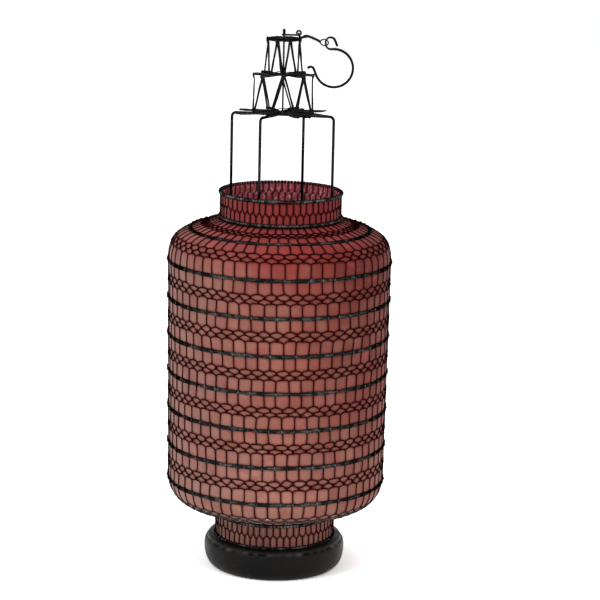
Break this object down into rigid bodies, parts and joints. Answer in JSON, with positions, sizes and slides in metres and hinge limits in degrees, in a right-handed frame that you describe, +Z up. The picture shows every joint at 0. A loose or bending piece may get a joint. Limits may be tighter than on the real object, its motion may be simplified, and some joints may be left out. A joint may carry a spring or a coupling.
{
  "type": "chinese lantern",
  "caption": "Round red silk lantern in a wire net, with a neck and a foot ring, on a turned wooden base, with a stepped wire crown and a swinging hook.",
  "frame": {"origin": "centre of the wooden base's flat underside", "axes": "+Z up along the lantern's upright axis; the hook is stored on the +X side, its opening towards -X"},
  "size_m": [0.2892, 0.2892, 0.6998],
  "materials": {
    "black_wood": "satin",
    "black_iron": "satin",
    "red_silk": "matt",
    "tinned_sheet": "satin"
  },
  "bodies": {
    "stand": {"wood_base": "black_wood", "drip_pan": "tinned_sheet", "candle_spike": "black_iron", "lower_bow": "black_iron", "upper_bow": "black_iron", "lower_plate": "black_iron", "bow_lashings": "black_iron", "middle_plate": "black_iron", "top_plate": "black_iron", "centre_rod": "black_iron", "lower_strut_1": "black_iron", "lower_strut_2": "black_iron", "lower_strut_3": "black_iron", "lower_strut_4": "black_iron", "lower_strut_5": "black_iron", "lower_strut_6": "black_iron", "lower_strut_7": "black_iron", "lower_strut_8": "black_iron", "upper_strut_1": "black_iron", "upper_strut_2": "black_iron", "upper_strut_3": "black_iron", "upper_strut_4": "black_iron", "upper_strut_5": "black_iron", "upper_strut_6": "black_iron", "upper_strut_7": "black_iron", "upper_strut_8": "black_iron"},
    "shade": {"rim_hoop": "black_iron", "neck_hoop": "black_iron", "shoulder_hoop": "black_iron", "body_hoop_1": "black_iron", "body_hoop_2": "black_iron", "body_hoop_3": "black_iron", "body_hoop_4": "black_iron", "body_hoop_5": "black_iron", "body_hoop_6": "black_iron", "body_hoop_7": "black_iron", "foot_top_hoop": "black_iron", "foot_hoop": "black_iron", "neck_silk": "red_silk", "shoulder_silk": "red_silk", "body_silk": "red_silk", "underside_silk": "red_silk", "foot_silk": "red_silk", "neck_uprights": "black_iron", "shoulder_uprights": "black_iron", "body_uprights": "black_iron", "underside_uprights": "black_iron", "foot_uprights": "black_iron", "neck_zigzag": "black_iron", "shoulder_zigzags": "black_iron", "body_zigzags": "black_iron", "underside_zigzag": "black_iron", "foot_zigzag": "black_iron"},
    "link": {"swivel_link": "black_iron"},
    "arm": {"hanger_arm": "black_iron"},
    "hook": {"hanging_hook": "black_iron"}
  },
  "joints": [
    {"name": "shade_lift", "type": "slide", "parent": "stand", "child": "shade", "axis": [0, 0, 1], "range_m": [0, 0.11]},
    {"name": "link_swivel", "type": "hinge", "parent": "stand", "child": "link", "pos_m": [0, 0, 0.6921], "axis": [0, 0, 1], "continuous": true},
    {"name": "arm_swing", "type": "hinge", "parent": "link", "child": "arm", "pos_m": [0.0185, 0, 0.6936], "axis": [0, -1, 0], "range_deg": [0, 100]},
    {"name": "hook_swing", "type": "hinge", "parent": "arm", "child": "hook", "pos_m": [0.0558, 0, 0.6828], "axis": [0, -1, 0], "range_deg": [0, 100]}
  ]
}
